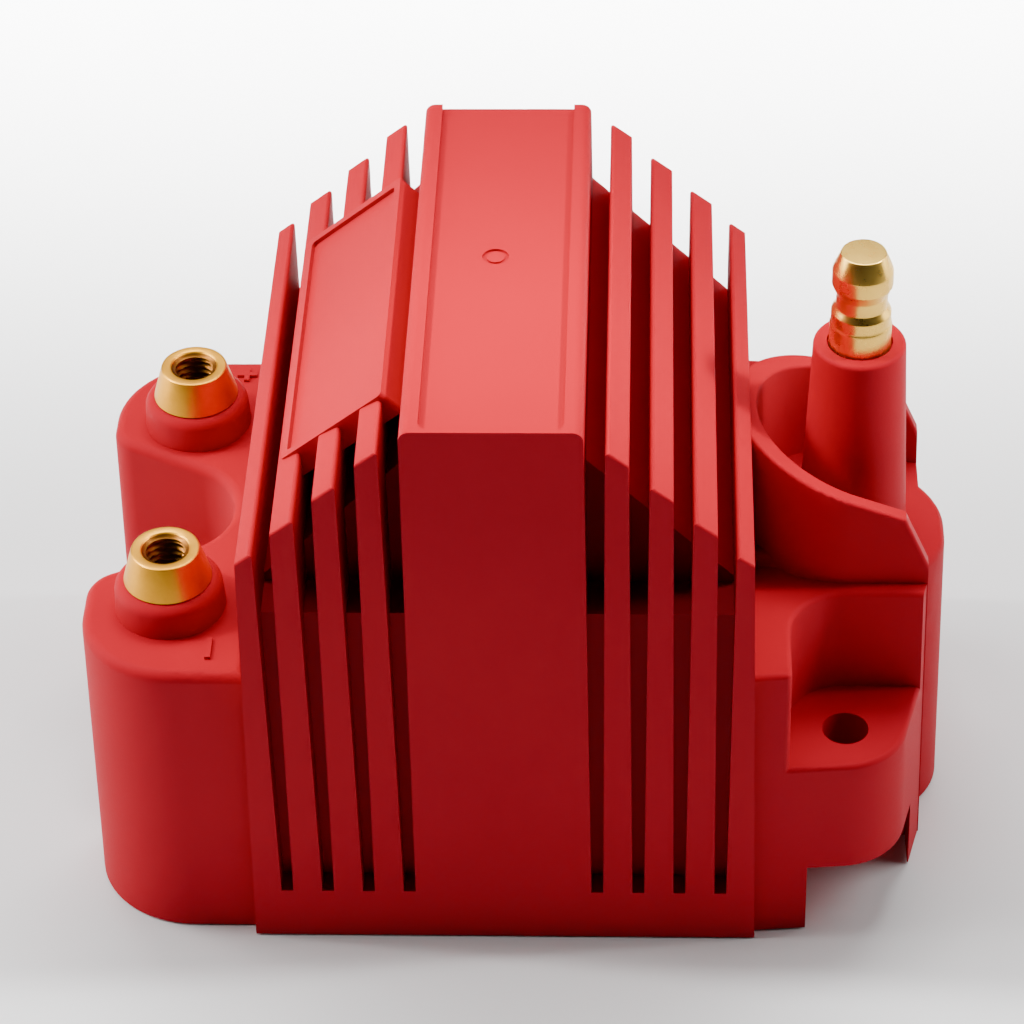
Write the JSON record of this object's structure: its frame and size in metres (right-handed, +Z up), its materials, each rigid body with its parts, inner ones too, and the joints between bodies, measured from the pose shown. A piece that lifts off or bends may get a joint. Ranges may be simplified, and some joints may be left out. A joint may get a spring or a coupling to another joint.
{
  "type": "ignition coil",
  "caption": "Finned, potted ignition coil with a gabled red case, a high-voltage tower with a clip-on post behind a shield wall, threaded brass primary terminals and screw ears.",
  "frame": {"origin": "centre of the finned body's underside, on the mounting plane", "axes": "+Z up through the centre block, +X from the primary terminals towards the high-voltage tower, +Y towards the back, where the positive terminal is"},
  "size_m": [0.0931, 0.058, 0.0701],
  "materials": {
    "red_case": "satin moulded glass-filled plastic",
    "brass": "turned brass, bright",
    "core_steel": "silicon steel laminations, varnished edges",
    "gap_paper": "pressboard sheet",
    "rivet_steel": "zinc plated steel",
    "stress_tape": "soft cloth tape",
    "bobbin_nylon": "black glass-filled nylon",
    "enamelled_copper": "enamelled copper wire",
    "fine_copper": "fine enamelled copper wire in sections",
    "film_wrap": "polyester film",
    "tinned_wire": "tinned copper",
    "silicone_lead": "silicone insulation",
    "tinned_lug": "tin plated brass",
    "epoxy_potting": "cast black epoxy"
  },
  "bodies": {
    "root": {"housing": "red_case", "hv_terminal_post": "brass", "positive_terminal_insert": "brass", "negative_terminal_insert": "brass", "e_core_stack": "core_steel", "i_core_stack": "core_steel", "core_gap_spacer": "gap_paper", "core_rivets": "rivet_steel", "core_stress_tape": "stress_tape", "primary_bobbin": "bobbin_nylon", "primary_winding": "enamelled_copper", "interlayer_wrap": "film_wrap", "secondary_bobbin": "bobbin_nylon", "secondary_winding": "fine_copper", "secondary_pins": "tinned_wire", "hv_lead": "silicone_lead", "hv_lead_ferrule": "brass", "positive_lug": "tinned_lug", "negative_lug": "tinned_lug", "positive_lead": "enamelled_copper", "negative_lead": "enamelled_copper", "secondary_return_lead": "tinned_wire", "potting_compound": "epoxy_potting"}
  },
  "joints": []
}
